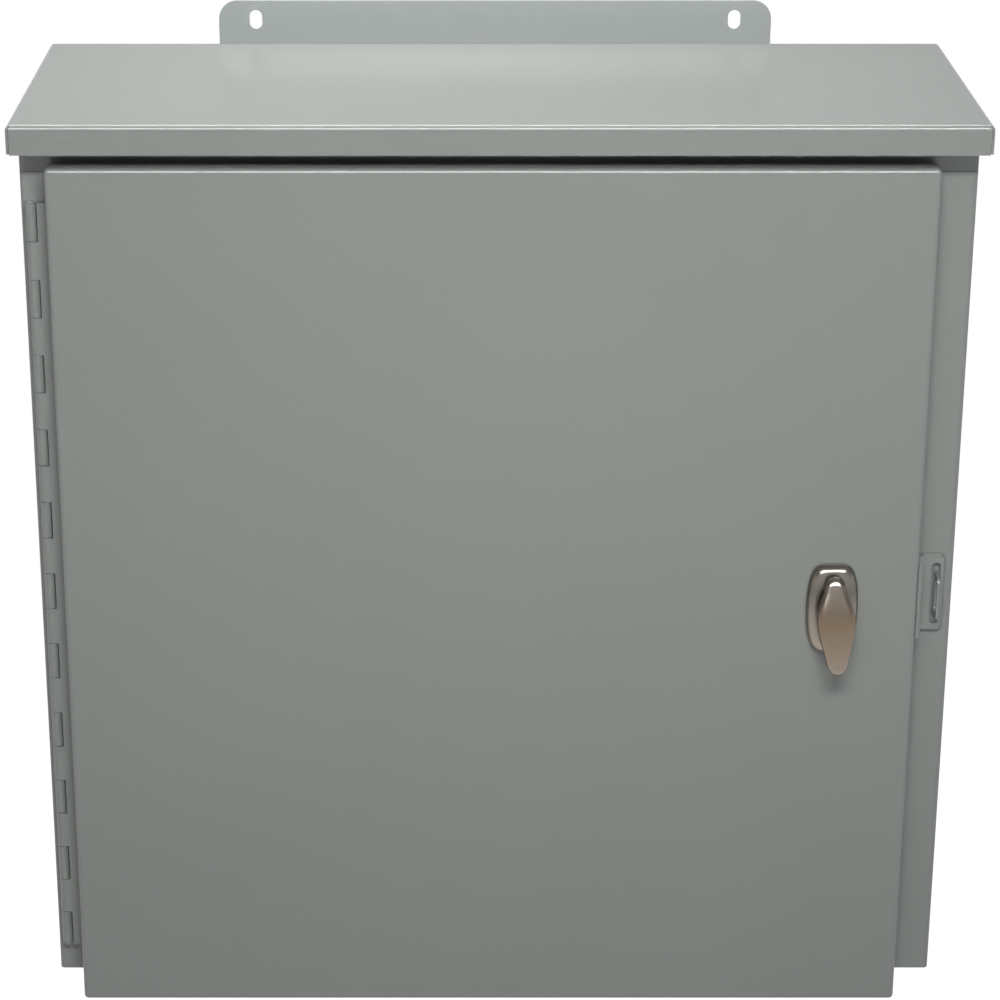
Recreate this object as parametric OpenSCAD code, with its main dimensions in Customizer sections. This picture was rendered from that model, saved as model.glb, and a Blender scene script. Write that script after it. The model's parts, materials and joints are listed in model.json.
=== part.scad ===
// Wall-hung rainproof steel cabinet: folded body, drip hood, hinged door, quarter-turn handle, padlock hasp.
// Millimetres, +Z up, the door faces -Y, the wall is the plane y = 0.
// The origin is the middle of the upper strap's rear face, at the height of its slots.

/* [Body] */
// Width of the wrapper over its side walls
body_w = 609.6; // [400:0.1:900]
// Height of the wrapper
body_h = 609.6; // [450:0.1:1200]
// Depth of the wrapper, back wall to front flanges
body_d = 203.2; // [150:0.1:400]
// Thickness of the folded sheet
sheet_t = 1.5; // [1:0.1:2]
// Outside radius of the sheet's bends
bend_r = 3; // [2.5:0.1:4]
// Width of the front flange on the hinge side
left_flange_w = 38; // [34:0.5:60]
// Width of the front flange on the latch side
right_flange_w = 43; // [40:0.5:60]
// Slack between sheets that are welded edge to edge
weld_gap = 0.3; // [0.1:0.1:0.6]

/* [Caps] */
// Height of the top cap's front and side flanges
cap_flange_h = 35.7; // [28:0.1:60]
// Height of the bottom cap's front flange
floor_front_h = 30; // [20:0.5:60]
// Height of the bottom cap's side and rear flanges
floor_side_h = 18; // [10:0.5:40]
// Distance of the bottom cap's flange ends from its corners
floor_corner = 8; // [5:0.5:20]
// Diameter of a drain hole
drain_d = 6.4; // [4:0.1:12]
// Distance of a drain hole from the wrapper's side
drain_side = 50.8; // [30:0.1:120]
// Distance of the drain holes from the front flanges
drain_inset = 30; // [15:0.5:60]

/* [Hood] */
// Reach of the drip hood past the front flanges
hood_reach = 31; // [27:0.1:60]
// Height of the hood's front lip
hood_lip_h = 19; // [10:0.1:24]
// Height of the hood's side lips
hood_side_h = 18.3; // [10:0.1:24]
// Gap between the hood's side lips and the body
hood_gap = 1.5; // [0.3:0.1:3]

/* [Wall straps] */
// Length of a strap along the wall
strap_w = 381; // [200:0.5:600]
// Thickness of a strap
strap_t = 2; // [1.5:0.1:4]
// Height that a strap stands past the wrapper's edge
strap_rise = 32.9; // [28:0.1:60]
// Height of the strap's lap on the back wall
strap_lap = 50; // [30:0.5:100]
// Radius of the strap's outer corners
strap_corner_r = 12.7; // [4:0.1:16]
// Distance from a strap's end to the middle of its slot
slot_end = 25.4; // [20:0.1:60]
// Distance from the wrapper's edge to a slot's centre
slot_rise = 19.8; // [18:0.1:24]
// Width of a slot
slot_w = 8.7; // [6:0.1:11]
// Length of a slot, end to end
slot_len = 13.4; // [12:0.1:18]

/* [Hinge] */
// Least gap between an end of the hinge and the flange's end
hinge_end_gap = 20; // [15:0.5:40]
// Length of one knuckle
knuckle_len = 25.4; // [18:0.1:28]
// Diameter of the hinge pin
pin_d = 4; // [3:0.1:5]
// Running clearance around the pin, on the radius
pin_clearance = 0.05; // [0.02:0.01:0.1]
// Thickness of the hinge leaves
leaf_t = 1.5; // [1:0.1:2]
// Width of a hinge leaf from the pin's axis
leaf_w = 28; // [24:0.5:31]
// Gap between neighbouring knuckles
knuckle_gap = 0.4; // [0.2:0.1:1]
// Gap between the barrel and the flange that it turns over
barrel_gap = 0.3; // [0.3:0.05:0.8]
// Distance of the pin's axis from the wrapper's left side
hinge_inset = 6.9; // [5:0.1:8]
// Lift of the hinge above the middle of the flange
hinge_lift = 2; // [0:0.1:5]

/* [Door] */
// Distance of the door's hinge edge from the wrapper's left side
door_left = 18.7; // [16:0.1:22]
// Distance of the door's latch edge from the wrapper's right side
door_right = 26.9; // [26.5:0.1:30]
// Drop of the door below the wrapper's bottom edge
door_drop = 10.6; // [4:0.1:14]
// Lap of the door over the top cap's front flange
door_lap = 9.6; // [4:0.1:12]
// Depth of the door pan
door_depth = 16.6; // [15:0.1:18]
// Width of the door's returned edge
door_return_w = 14; // [8:0.5:20]

/* [Padlock hasp] */
// Height of the hasp's middle above the wrapper's bottom edge
hasp_mid_z = 287; // [150:0.1:450]
// Length of the hasp plate
hasp_len = 55.5; // [50:0.1:70]
// Thickness of the hasp plate
hasp_t = 2.2; // [1.5:0.1:2.4]
// Width of the hasp's sheet past its slot
hasp_edge = 2.5; // [2:0.1:4]
// Depth of the hasp's leg along the door's edge
hasp_leg = 15; // [13:0.1:17]
// Gap between the slotted leg and the flange
hasp_stand = 2.1; // [1.5:0.1:3]
// Width of the slot in the hasp
hasp_slot_w = 5.4; // [4.8:0.1:6]
// Length of the slot in the hasp, end to end
hasp_slot_len = 43.5; // [38:0.1:46]
// Radius of the hasp's free corners
hasp_corner_r = 3; // [1:0.1:4]
// Height of the staple, along the slot
staple_h = 31; // [27:0.1:33]
// Length that the staple stands out of the flange
staple_out = 17; // [15:0.1:18]
// Width of the staple's foot on the flange
staple_foot = 14; // [8:0.1:18]
// Corner radius of the staple's tab
staple_corner_r = 5; // [2:0.1:7]
// Distance of the staple from the wrapper's right side
staple_inset = 12.8; // [11:0.1:14]
// Width of the staple's padlock eye
eye_w = 8; // [7:0.1:9]
// Length of the staple's padlock eye, end to end
eye_len = 22; // [14:0.1:23]
// Distance of the eye's middle from the staple's free edge
eye_inset = 7; // [6.5:0.1:7.5]

/* [Handle] */
// Distance of the handle's shank from the wrapper's right side
handle_inset = 83.4; // [78:0.1:86]
// Height of the handle's shank above the wrapper's bottom edge
handle_z = 304; // [150:0.1:480]
// Length of the escutcheon
plate_len = 62.3; // [56:0.1:70]
// Width of the escutcheon's ends
plate_end_w = 28; // [25:0.1:32]
// Width of the escutcheon at its middle
plate_mid_w = 34.4; // [33:0.1:38]
// Corner radius of the escutcheon
plate_corner_r = 7; // [4:0.1:9]
// Bulge of the escutcheon's ends
plate_bulge = 1.2; // [0:0.1:3]
// Height of the escutcheon's rim
plate_rim = 3; // [2:0.1:4]
// Height of the escutcheon's dome above its rim
plate_dome = 5; // [4:0.1:7]
// Height of the shoulder where the dome turns in
plate_shoulder_h = 2.5; // [1.5:0.1:3.5]
// Inset of the dome's shoulder from the rim
plate_shoulder = 1.2; // [0.5:0.1:2]
// Inset of the dome's crown from the rim
plate_bevel = 3.5; // [2.5:0.1:3.8]
// Rise of the shank above the escutcheon's middle
shank_rise = 18; // [16:0.1:19]
// Thickness of the gasket under the escutcheon
gasket_t = 0.8; // [0.5:0.1:1.5]
// Diameter of the handle's shank
shank_d = 10; // [9:0.1:11]
// Running clearance around the shank, on the radius
shank_clearance = 0.05; // [0.02:0.01:0.1]
// Wall of the escutcheon's sleeve around the shank
sleeve_wall = 3; // [2:0.1:4]
// Length of the sleeve behind the door sheet
sleeve_back = 4; // [3:0.1:8]
// Clearance around the sleeve and the screws, on the radius
hole_clearance = 0.3; // [0.2:0.05:0.6]
// Gap between the turning hub and the escutcheon
hub_gap = 0.3; // [0.2:0.05:0.6]
// Diameter of the lever's hub
hub_d = 17; // [15:0.1:18]
// Height of the lever's hub
hub_h = 9; // [7:0.1:12]
// Reach of the lever from the shank's axis to its tip
lever_reach = 57; // [50:0.1:70]
// Width of the lever's hub end
lever_top_w = 12; // [11:0.1:14]
// Width of the lever's leaf
lever_leaf_w = 23; // [20:0.1:26]
// Width of the lever's tip
lever_tip_w = 12; // [9:0.1:14]
// Rise of the lever's hub end above the shank's axis
lever_top_rise = 10; // [9:0.1:11]
// Distance of the leaf's broadest place below the shank's axis
lever_leaf_drop = 28.5; // [26:0.1:32]
// Thickness of the lever's leaf
lever_t = 10; // [8:0.1:12]
// Thickness of the lever's two ends
lever_end_t = 8; // [6:0.1:9]
// Rise of the lever's tip above its hub end
lever_rise = 14; // [8:0.1:16]
// Diameter of the escutcheon's screws
screw_d = 4; // [3:0.1:5]
// Distance of the nearer escutcheon screw below the shank's axis
screw_drop = 19; // [17:0.1:20]
// Distance between the escutcheon's screws
screw_pitch = 21; // [18:0.1:22]
// Depth of the screws in the escutcheon
screw_bite = 4; // [3:0.1:5]
// Diameter of a screw head
screw_head_d = 8; // [7:0.1:9]
// Height of a screw head
screw_head_h = 2.4; // [2:0.1:3]

/* [Latch] */
// Lap of the turned cam behind the flange
cam_hold = 11.6; // [8:0.1:14]
// Width of the cam
cam_w = 18; // [17:0.1:22]
// Thickness of the cam
cam_t = 3; // [2:0.1:4]
// Gap between the turned cam and the flange that it holds
cam_gap = 0.8; // [0.3:0.1:1.5]
// Side of the shank's square end
square_w = 7; // [6:0.1:7.4]
// Diameter of the shank's threaded end
tail_d = 6; // [5:0.1:6]
// Slack of the cam, washer, ring and nuts on what carries them, on the radius
seat_slack = 0.05; // [0.02:0.01:0.1]
// Thickness of the shank's retaining ring
ring_t = 1.2; // [0.8:0.1:2]
// Outside diameter of the shank's retaining ring
ring_d = 16; // [15:0.1:20]

/* [Fasteners] */
// Thickness of a washer
washer_t = 1.2; // [0.8:0.1:2]
// Size of the cam's nut across its flats
cam_nut_af = 10; // [9:0.1:12]
// Height of the cam's nut
cam_nut_h = 5; // [4:0.1:6]
// Length of thread left showing past a nut
thread_past = 2; // [1:0.1:4]

/* [Back panel] */
// Distance of the panel's side edges from the wrapper's sides
panel_side = 38.1; // [35:0.1:80]
// Distance of the panel's upper and lower edges from the wrapper's edges
panel_end = 38.1; // [36:0.1:80]
// Thickness of the back panel
panel_t = 2; // [1.5:0.1:3]
// Corner radius of the back panel
panel_corner_r = 6; // [2:0.1:8]
// Distance of the panel's studs from its edges
panel_stud_inset = 12.7; // [11:0.1:20]
// Height of the stud collars that carry the panel
collar_h = 12.7; // [8:0.1:20]
// Diameter of the stud collars
collar_d = 14; // [12:0.1:16]
// Diameter of the panel's studs
panel_stud_d = 8; // [6:0.1:8]
// Clearance of the panel on its studs, on the radius
panel_slack = 0.4; // [0.2:0.05:0.8]
// Size of a panel nut across its flats
panel_nut_af = 13; // [12:0.1:14]
// Height of a panel nut
panel_nut_h = 6.5; // [5:0.1:8]
// Outside diameter of a panel washer
panel_washer_d = 16; // [15:0.1:18]

/* [Ground stud] */
// Diameter of the ground stud
ground_d = 6; // [5:0.1:8]
// Length of the ground stud
ground_len = 20; // [12:0.1:30]
// Distance of the ground stud from the wrapper's left side
ground_inset = 20; // [15:0.1:24]
// Height of the ground stud above the wrapper's bottom edge
ground_z = 60; // [40:0.1:120]
// Size of the ground nut across its flats
ground_nut_af = 10; // [9:0.1:13]
// Height of the ground nut
ground_nut_h = 5; // [4:0.1:6]

/* [Hidden] */
$fn = 48;
paint = [0.55, 0.57, 0.55];
nickel = [0.66, 0.63, 0.58];
zinc = [0.75, 0.76, 0.78];
black = [0.13, 0.13, 0.13];
panel_white = [0.90, 0.90, 0.88];

// Amount by which a cut runs past the faces it opens
cut = 1;

// Wrapper, in cabinet coordinates: x from its middle, y from the wall, z from its bottom edge
back_y = -strap_t;
front_y = back_y - body_d;
left_x = -body_w / 2;
right_x = body_w / 2;
inner_r = bend_r - sheet_t;
back_in_y = back_y - sheet_t;
wrapper_top = body_h - inner_r;

// Cap flush with the wrapper's walls, and hood over the cap
cap_top = body_h + sheet_t;
cap_low = cap_top - cap_flange_h;
seam_z = cap_low - weld_gap;
hood_w = body_w + 2 * (hood_gap + sheet_t);
hood_top = cap_top + sheet_t;

// Height of the upper slots, which carries the origin
hang_z = body_h + slot_rise;

// Hinge: distances d count forwards from the front flanges
barrel_r = pin_d / 2 + pin_clearance + leaf_t;
bore_r = pin_d / 2 + pin_clearance;
axis_d = barrel_r + barrel_gap;
axis_x = left_x + hinge_inset;
// An odd number of knuckles, so that the body leaf holds both ends
knuckles = 2 * floor(((cap_low - 2 * hinge_end_gap) / knuckle_len - 1) / 2) + 1;
hinge_len = knuckles * knuckle_len;
hinge_low = cap_low / 2 + hinge_lift - hinge_len / 2;
door_leaf_d = axis_d + bore_r;
knuckle_relief = barrel_r + 2 * barrel_gap;

// Door pan
door_x0 = left_x + door_left;
door_x1 = right_x - door_right;
door_z0 = -door_drop;
door_z1 = cap_low + door_lap;
door_rear_d = door_leaf_d + leaf_t;
door_front_d = door_rear_d + door_depth;

// Hasp and staple
staple_x = right_x - staple_inset;
hasp_slot_x = staple_x + sheet_t / 2;
hasp_x1 = hasp_slot_x + hasp_slot_w / 2 + hasp_edge;
hasp_front_d = hasp_stand + hasp_t;
hasp_x0 = door_x1 + weld_gap;

// Handle and latch
shank_x = right_x - handle_inset;
plate_mid_z = handle_z - shank_rise;
plate_d = door_front_d + gasket_t;
plate_top_d = plate_d + plate_rim + plate_dome;
sleeve_r = shank_d / 2 + shank_clearance + sleeve_wall;
sleeve_end_d = door_front_d - sheet_t - sleeve_back;
hub_d0 = plate_top_d + hub_gap;
hub_d1 = hub_d0 + hub_h;
cam_len = right_x - right_flange_w + cam_hold - shank_x;
cam_front_d = -sheet_t - cam_gap;
cam_rear_d = cam_front_d - cam_t;
cam_nut_d = cam_rear_d - washer_t;
tail_end_d = cam_nut_d - cam_nut_h - thread_past;

// Lever: heights of its hub end's, broadest and tip circles from the shank's axis, and the beads of its skin
lever_z0 = lever_top_rise - lever_top_w / 2;
lever_z1 = -lever_leaf_drop;
lever_z2 = lever_tip_w / 2 - lever_reach;
lever_beads = 8;

// Back panel
panel_w = body_w - 2 * panel_side;
panel_h = body_h - 2 * panel_end;
panel_mid_z = body_h / 2;
stud_half_x = panel_w / 2 - panel_stud_inset;
stud_half_z = panel_h / 2 - panel_stud_inset;
panel_y = back_in_y - collar_h;
panel_washer_y = panel_y - panel_t;
panel_nut_y = panel_washer_y - washer_t;
panel_stud_end_y = panel_nut_y - panel_nut_h - thread_past;

// Moves a piece from cabinet coordinates to the part's own origin
module hung() {
  translate([0, 0, -hang_z]) children();
}

// Extrudes an x-z outline from d0 to d1 in front of the flanges
module forward(d0, d1) {
  translate([0, front_y - d0, 0]) rotate([90, 0, 0]) linear_extrude(d1 - d0) children();
}

// Extrudes an x-z outline from the wall side at y0 towards the door, to y1
module outward(y0, y1) {
  translate([0, y0, 0]) rotate([90, 0, 0]) linear_extrude(y0 - y1) children();
}

// Extrudes a y-z outline from x0 to x1
module across(x0, x1) {
  translate([x0, 0, 0]) rotate([90, 0, 90]) linear_extrude(x1 - x0) children();
}

// Rectangle between two corners
module box2(x0, y0, x1, y1) {
  translate([x0, y0]) square([x1 - x0, y1 - y0]);
}

// Rectangle between two corners, with all its corners rounded
module round2(x0, y0, x1, y1, r) {
  box2(x0 + r, y0, x1 - r, y1);
  box2(x0, y0 + r, x1, y1 - r);
  for (x = [x0 + r, x1 - r], y = [y0 + r, y1 - r]) translate([x, y]) circle(r);
}

// Rectangle between two corners, with its two upper corners rounded
module arch2(x0, y0, x1, y1, r) {
  box2(x0, y0, x1, y1 - r);
  box2(x0 + r, y0, x1 - r, y1);
  for (x = [x0 + r, x1 - r]) translate([x, y1 - r]) circle(r);
}

// Slot outline with round ends, upright on its middle
module slot2(x, z, w, len) {
  box2(x - w / 2, z - (len - w) / 2, x + w / 2, z + (len - w) / 2);
  for (side = [-1, 1]) translate([x, z + side * (len - w) / 2]) circle(d = w);
}

// Bent edge of a sheet that ends at u = -bend_r: a quarter bend at the origin's corner, then a flange up
module fold2(h) {
  translate([-bend_r, bend_r]) intersection() {
    difference() {
      circle(bend_r);
      circle(inner_r);
    }
    translate([0, -bend_r]) square(bend_r);
  }
  box2(-sheet_t, bend_r, 0, h);
}

// Sheet folded down along both sides and along the front edge, with butted front corners
module folded_cover(w, top, reach, side_h, front_h) {
  end_x = w / 2 - sheet_t - weld_gap;
  module channel2() {
    difference() {
      arch2(-w / 2, top - side_h, w / 2, top, bend_r);
      arch2(-w / 2 + sheet_t, top - side_h - cut, w / 2 - sheet_t, top - sheet_t, inner_r);
    }
  }
  forward(-body_d, reach - bend_r) channel2();
  forward(reach - bend_r, reach) difference() {
    channel2();
    box2(-w / 2 + bend_r, top - bend_r, w / 2 - bend_r, top + cut);
  }
  across(-end_x, end_x) translate([front_y - reach, top]) mirror([1, 0]) mirror([0, 1]) fold2(front_h);
}

// Box with all its edges rounded, between two corners
module round_box(low, high, r) {
  x = [low.x + r, high.x - r];
  y = [low.y + r, high.y - r];
  z = [low.z + r, high.z - r];
  translate([low.x, y[0], z[0]]) cube([high.x - low.x, y[1] - y[0], z[1] - z[0]]);
  translate([x[0], low.y, z[0]]) cube([x[1] - x[0], high.y - low.y, z[1] - z[0]]);
  translate([x[0], y[0], low.z]) cube([x[1] - x[0], y[1] - y[0], high.z - low.z]);
  for (a = x, b = y) translate([a, b, z[0]]) cylinder(r = r, h = z[1] - z[0]);
  for (a = x, c = z) translate([a, y[0], c]) rotate([-90, 0, 0]) cylinder(r = r, h = y[1] - y[0]);
  for (b = y, c = z) translate([x[0], b, c]) rotate([0, 90, 0]) cylinder(r = r, h = x[1] - x[0]);
  for (a = x, b = y, c = z) translate([a, b, c]) sphere(r);
}

// Hexagon across its flats
module hex2(af) {
  circle(d = af / cos(30), $fn = 6);
}

// Puts a shape drawn on z at the shank's axis, with z counting forwards from the flanges
module on_shank(d) {
  translate([shank_x, front_y - d, handle_z]) rotate([90, 0, 0]) children();
}

// Repeats a shape, drawn on z, at the panel's four studs, with z counting from y towards the door
module at_studs(y) {
  for (sx = [-1, 1], sz = [-1, 1]) {
    translate([sx * stud_half_x, y, panel_mid_z + sz * stud_half_z]) rotate([90, 0, 0]) children();
  }
}

// Back, sides and front flanges up to the cap's seam, with the back wall running on up to the roof
module body_wrapper() {
  color(paint) hung() {
    linear_extrude(seam_z) difference() {
      round2(left_x, front_y, right_x, back_y, bend_r);
      round2(left_x + sheet_t, front_y + sheet_t, right_x - sheet_t, back_in_y, inner_r);
      box2(left_x + left_flange_w, front_y - cut, right_x - right_flange_w, front_y + sheet_t + cut);
    }
    outward(back_y, back_in_y) {
      box2(left_x + sheet_t + weld_gap, seam_z, right_x - sheet_t - weld_gap, wrapper_top);
      box2(left_x + bend_r, 0, right_x - bend_r, wrapper_top);
    }
  }
}

// Staple: an angle welded on the right flange, with a long padlock eye in its tab
module padlock_staple() {
  free_y = front_y - staple_out;
  root_y = front_y - bend_r;
  low = hasp_mid_z - staple_h / 2;
  high = hasp_mid_z + staple_h / 2;
  color(paint) hung() {
    translate([staple_x + sheet_t, front_y, low]) linear_extrude(staple_h) mirror([0, 1]) {
      box2(-staple_foot, 0, -bend_r, sheet_t);
      fold2(bend_r + cut);
    }
    across(staple_x, staple_x + sheet_t) difference() {
      union() {
        box2(free_y + staple_corner_r, low, root_y, high);
        round2(free_y, low, free_y + 2 * staple_corner_r + cut, high, staple_corner_r);
      }
      slot2(free_y + eye_inset, hasp_mid_z, eye_w, eye_len);
    }
  }
}

// Cap on the wrapper's top edge, flush with its walls, its corners welded and ground round
module top_cap() {
  spare = 2 * bend_r;
  low = [left_x, front_y, cap_low - spare];
  high = [right_x, back_y + spare, cap_top];
  wall = [sheet_t, sheet_t, sheet_t];
  color(paint) hung() difference() {
    round_box(low, high, bend_r);
    round_box(low + wall, high - wall, inner_r);
    across(left_x - cut, right_x + cut) {
      box2(front_y - cut, low.z - cut, high.y + cut, cap_low);
      box2(back_y, low.z - cut, high.y + cut, high.z + cut);
    }
  }
}

// Drip hood over the cap
module rain_hood() {
  color(paint) hung() folded_cover(hood_w, hood_top, hood_reach, hood_side_h, hood_lip_h);
}

// Floor inside the wrapper, with four upturned flanges and two drain holes
module bottom_cap() {
  x1 = right_x - sheet_t - weld_gap;
  y0 = front_y + sheet_t + weld_gap;
  y1 = back_in_y - weld_gap;
  color(paint) hung() {
    difference() {
      linear_extrude(sheet_t) box2(-x1 + bend_r, y0 + bend_r, x1 - bend_r, y1 - bend_r);
      for (side = [-1, 1]) {
        translate([side * (right_x - drain_side), y0 + drain_inset, -cut])
          cylinder(d = drain_d, h = sheet_t + 2 * cut);
      }
    }
    across(-x1 + floor_corner, x1 - floor_corner) {
      translate([y1, 0]) fold2(floor_side_h);
      translate([y0, 0]) mirror([1, 0]) fold2(floor_front_h);
    }
    outward(y1 - floor_corner, y0 + floor_corner) for (side = [0, 1]) {
      mirror([side, 0]) translate([x1, 0]) fold2(floor_side_h);
    }
  }
}

// Outline of the upper strap, from its lap on the back wall to its slotted edge
module strap2() {
  high = body_h + strap_rise;
  difference() {
    arch2(-strap_w / 2, body_h - strap_lap, strap_w / 2, high, strap_corner_r);
    for (side = [-1, 1]) slot2(side * (strap_w / 2 - slot_end), body_h + slot_rise, slot_w, slot_len);
  }
}

// Strap on the back wall, standing above the roof
module upper_wall_strap() {
  color(paint) hung() outward(0, back_y) strap2();
}

// Strap on the back wall, hanging below the floor
module lower_wall_strap() {
  color(paint) hung() outward(0, back_y) translate([0, body_h]) mirror([0, 1]) strap2();
}

// Leaf with every second knuckle: first is 0 for the leaf that holds both ends, d is the leaf's rear face
module hinge_leaf(first, d) {
  difference() {
    union() {
      forward(d, d + leaf_t) box2(axis_x, hinge_low, axis_x + leaf_w, hinge_low + hinge_len);
      for (i = [first : 2 : knuckles - 1]) {
        translate([axis_x, front_y - axis_d, hinge_low + i * knuckle_len + knuckle_gap / 2])
          cylinder(r = barrel_r, h = knuckle_len - knuckle_gap);
      }
    }
    translate([axis_x, front_y - axis_d, hinge_low - cut]) cylinder(r = bore_r, h = hinge_len + 2 * cut);
    for (i = [1 - first : 2 : knuckles - 1]) {
      forward(d - cut, d + leaf_t + cut) box2(
        axis_x - cut, hinge_low + i * knuckle_len - knuckle_gap / 2,
        axis_x + knuckle_relief, hinge_low + (i + 1) * knuckle_len + knuckle_gap / 2
      );
    }
  }
}

// Fixed leaf on the left flange
module body_hinge_leaf() {
  color(paint) hung() hinge_leaf(0, 0);
}

// Moving leaf under the door's returned edge
module door_hinge_leaf() {
  color(paint) hung() hinge_leaf(1, door_leaf_d);
}

// Pin through all the knuckles
module hinge_pin() {
  color(zinc) hung() translate([axis_x, front_y - axis_d, hinge_low]) cylinder(d = pin_d, h = hinge_len);
}

// Equipment panel on the studs
module back_panel() {
  low_z = panel_mid_z - panel_h / 2;
  color(panel_white) hung() difference() {
    outward(panel_y, panel_y - panel_t) {
      round2(-panel_w / 2, low_z, panel_w / 2, low_z + panel_h, panel_corner_r);
    }
    at_studs(panel_y + cut) cylinder(r = panel_stud_d / 2 + panel_slack, h = panel_t + 2 * cut);
  }
}

// Four collar studs on the back wall
module panel_studs() {
  color(zinc) hung() at_studs(back_in_y) {
    cylinder(d = collar_d, h = collar_h);
    cylinder(d = panel_stud_d, h = back_in_y - panel_stud_end_y);
  }
}

// Washers on the panel's studs
module panel_washers() {
  color(zinc) hung() at_studs(panel_washer_y) linear_extrude(washer_t) difference() {
    circle(d = panel_washer_d);
    circle(r = panel_stud_d / 2 + seat_slack);
  }
}

// Nuts on the panel's studs
module panel_nuts() {
  color(zinc) hung() at_studs(panel_nut_y) linear_extrude(panel_nut_h) difference() {
    hex2(panel_nut_af);
    circle(r = panel_stud_d / 2 + seat_slack);
  }
}

// Places a shape, drawn on z, at the ground stud
module on_ground(y) {
  translate([left_x + ground_inset, y, ground_z]) rotate([90, 0, 0]) children();
}

// Ground stud on the back wall, beside the panel
module ground_stud() {
  color(zinc) hung() on_ground(back_in_y) cylinder(d = ground_d, h = ground_len);
}

// Nut run down on the ground stud
module ground_nut() {
  color(zinc) hung() on_ground(back_in_y) linear_extrude(ground_nut_h) difference() {
    hex2(ground_nut_af);
    circle(r = ground_d / 2 + seat_slack);
  }
}

// Door: a shallow pan with rounded edges that return inwards at the back
module door_pan() {
  low = [door_x0, front_y - door_front_d, door_z0];
  high = [door_x1, front_y - door_rear_d, door_z1];
  wall = [sheet_t, sheet_t, sheet_t];
  color(paint) hung() difference() {
    round_box(low, high, bend_r);
    round_box(low + wall, high - wall, inner_r);
    forward(door_rear_d - cut, door_rear_d + sheet_t + cut) box2(
      door_x0 + door_return_w, door_z0 + door_return_w, door_x1 - door_return_w, door_z1 - door_return_w
    );
    on_shank(door_front_d - sheet_t - cut) cylinder(r = sleeve_r + hole_clearance, h = sheet_t + 2 * cut);
    at_screws(door_front_d - sheet_t - cut) cylinder(r = screw_d / 2 + hole_clearance, h = sheet_t + 2 * cut);
  }
}

// Slotted angle on the door's latch edge
module hasp_plate() {
  leg_x = hasp_x0 + hasp_t;
  low = hasp_mid_z - hasp_len / 2;
  high = hasp_mid_z + hasp_len / 2;
  r = hasp_corner_r;
  color(paint) hung() {
    forward(hasp_stand, hasp_front_d) difference() {
      union() {
        box2(hasp_x0, low, hasp_x1 - r, high);
        round2(leg_x, low, hasp_x1, high, r);
      }
      slot2(hasp_slot_x, hasp_mid_z, hasp_slot_w, hasp_slot_len);
    }
    forward(hasp_stand, hasp_stand + hasp_leg) box2(hasp_x0, low, leg_x, high);
  }
}

// Escutcheon's outline about the shank's axis, shrunk by an inset all round
module plate2(inset) {
  end_x = plate_end_w / 2 - plate_corner_r;
  end_z = plate_len / 2 - plate_corner_r;
  mid_x = plate_mid_w / 2 - plate_corner_r;
  translate([0, -shank_rise]) hull() {
    for (side = [-1, 1], t = [-1 : 0.25 : 1]) {
      side_x = mid_x - (mid_x - end_x) * t * t;
      translate([side * side_x, t * (end_z - plate_bulge)]) circle(plate_corner_r - inset);
    }
    for (z = [-end_z, end_z]) translate([0, z]) circle(plate_corner_r - inset);
  }
}

// Repeats a shape, drawn on z, at the escutcheon's two screws
module at_screws(d) {
  for (i = [0, 1]) {
    on_shank(d) translate([0, -screw_drop - i * screw_pitch]) children();
  }
}

// Gasket between the escutcheon and the door
module handle_gasket() {
  color(black) hung() difference() {
    on_shank(door_front_d) linear_extrude(gasket_t) plate2(gasket_t);
    on_shank(door_front_d - cut) cylinder(r = sleeve_r + hole_clearance, h = gasket_t + 2 * cut);
    at_screws(door_front_d - cut) cylinder(r = screw_d / 2 + hole_clearance, h = gasket_t + 2 * cut);
  }
}

// Domed escutcheon with the sleeve that carries the shank
module handle_escutcheon() {
  color(nickel) hung() difference() {
    union() {
      on_shank(plate_d) linear_extrude(plate_rim) plate2(0);
      on_shank(plate_d + plate_rim) hull() {
        linear_extrude(plate_shoulder_h) plate2(plate_shoulder);
        linear_extrude(plate_dome) plate2(plate_bevel);
      }
      on_shank(sleeve_end_d) cylinder(r = sleeve_r, h = plate_top_d - sleeve_end_d);
    }
    on_shank(sleeve_end_d - cut) {
      cylinder(r = shank_d / 2 + shank_clearance, h = plate_top_d - sleeve_end_d + 2 * cut);
    }
    at_screws(plate_d - cut) cylinder(r = screw_d / 2 + seat_slack, h = screw_bite + seat_slack + cut);
  }
}

// Screws that hold the escutcheon from inside the door
module escutcheon_screws() {
  head_d = door_front_d - sheet_t;
  color(zinc) hung() {
    at_screws(head_d - screw_head_h) cylinder(d = screw_head_d, h = screw_head_h);
    at_screws(head_d) cylinder(d = screw_d, h = sheet_t + gasket_t + screw_bite);
  }
}

// Share of the leaf's full breadth at a height: 0 at the two ends' circles, 1 at the broadest place
function leaf_share(z) = z > lever_z1
  ? sin(90 * (lever_z0 - z) / (lever_z0 - lever_z1))
  : cos(90 * (lever_z1 - z) / (lever_z1 - lever_z2));

// Ellipsoid of the lever's skin at share s of the way from the hub end to the tip
module lever_bead(s) {
  z = lever_z0 + (lever_z2 - lever_z0) * s;
  full = leaf_share(z);
  end_w = z > lever_z1 ? lever_top_w : lever_tip_w;
  w = end_w + (lever_leaf_w - end_w) * full;
  t = lever_end_t + (lever_t - lever_end_t) * full;
  translate([0, z, lever_rise * s]) scale([w / 2, w / 2, t / 2]) sphere(1, $fn = 24);
}

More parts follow.
